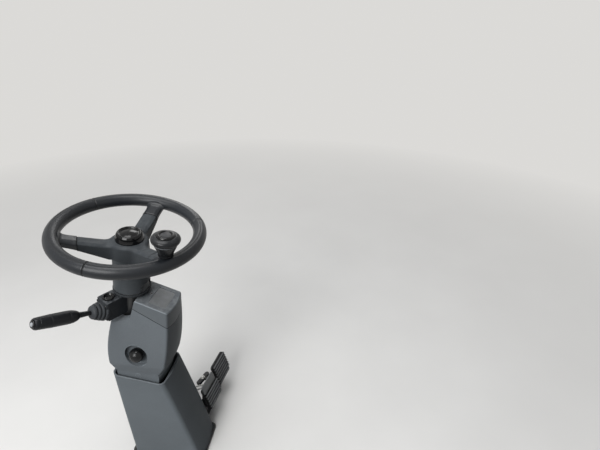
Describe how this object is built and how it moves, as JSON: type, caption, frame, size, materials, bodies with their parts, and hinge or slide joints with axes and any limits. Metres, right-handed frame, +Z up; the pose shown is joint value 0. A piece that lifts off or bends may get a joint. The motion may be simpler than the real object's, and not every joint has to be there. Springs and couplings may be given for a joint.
{
  "type": "steering column",
  "caption": "Cab steering column with spinner-knob wheel, tilting and sliding head, stalk switch box, floor pedestal and twin brake pedals.",
  "frame": {"origin": "centre of the four floor bolts, on the underside of the base plate", "axes": "+Z up from the cab floor, +Y towards the front of the machine, +X to its right"},
  "size_m": [0.5119, 0.3962, 0.897],
  "materials": {
    "painted_steel": "satin black paint",
    "bright_steel": "zinc-plated, satin",
    "housing_grey": "fine-grained moulding",
    "lid_grey": "fine-grained moulding",
    "collar_grey": "fine-grained moulding",
    "gloss_black": "polished",
    "knob_black": "satin",
    "switch_black": "satin",
    "button_grey": "satin",
    "black_rubber": "moulded rubber",
    "rim_foam": "skinned foam, satin",
    "hub_charcoal": "satin moulding"
  },
  "bodies": {
    "pedestal": {"base_plate": "painted_steel", "post": "painted_steel", "tilt_pin": "bright_steel", "lower_shroud": "housing_grey", "pedal_bracket": "painted_steel", "pedal_shaft": "bright_steel"},
    "head": {"tilting_head": "housing_grey", "lid": "lid_grey", "lid_panel": "lid_grey", "tilt_knob": "gloss_black"},
    "column": {"column_sleeve": "bright_steel", "collar": "collar_grey", "ridged_boot": "black_rubber", "switch_box": "switch_black", "box_button": "switch_black", "stalk_bellows": "black_rubber", "stalk_rod": "switch_black", "stalk_grip": "switch_black", "stalk_button": "button_grey"},
    "wheel": {"wheel_rim": "rim_foam", "wheel_hub": "hub_charcoal", "hub_cap": "gloss_black", "steering_shaft": "bright_steel", "spinner_clamp": "knob_black"},
    "knob": {"spinner_grip": "knob_black", "spinner_cap": "gloss_black"},
    "left_pedal": {"pedal_lever_left": "bright_steel", "pedal_pad_left": "black_rubber", "pedal_latch": "bright_steel", "latch_arm": "painted_steel", "latch_pin": "bright_steel"},
    "right_pedal": {"pedal_lever_right": "bright_steel", "pedal_pad_right": "black_rubber"}
  },
  "joints": [
    {"name": "head_tilt", "type": "hinge", "parent": "pedestal", "child": "head", "pos_m": [0, 0.044, 0.368], "axis": [1, 0, 0], "range_deg": [-5, 12]},
    {"name": "column_slide", "type": "slide", "parent": "head", "child": "column", "axis": [0, -0.1444, 0.9895], "range_m": [0, 0.08]},
    {"name": "wheel_turn", "type": "hinge", "parent": "column", "child": "wheel", "pos_m": [0, 0.01, 0.84], "axis": [0, -0.1444, 0.9895], "continuous": true},
    {"name": "knob_spin", "type": "hinge", "parent": "wheel", "child": "knob", "pos_m": [-0.09506, -0.12946, 0.81966], "axis": [0, -0.1444, 0.9895], "continuous": true},
    {"name": "left_pedal_press", "type": "hinge", "parent": "pedestal", "child": "left_pedal", "pos_m": [0, -0.07, 0.034], "axis": [-1, 0, 0], "range_deg": [0, 20], "stiffness_Nm_per_rad": 30, "springref_deg": -14.32},
    {"name": "right_pedal_press", "type": "hinge", "parent": "pedestal", "child": "right_pedal", "pos_m": [0, -0.07, 0.034], "axis": [-1, 0, 0], "range_deg": [0, 20], "stiffness_Nm_per_rad": 30, "springref_deg": -14.32}
  ]
}
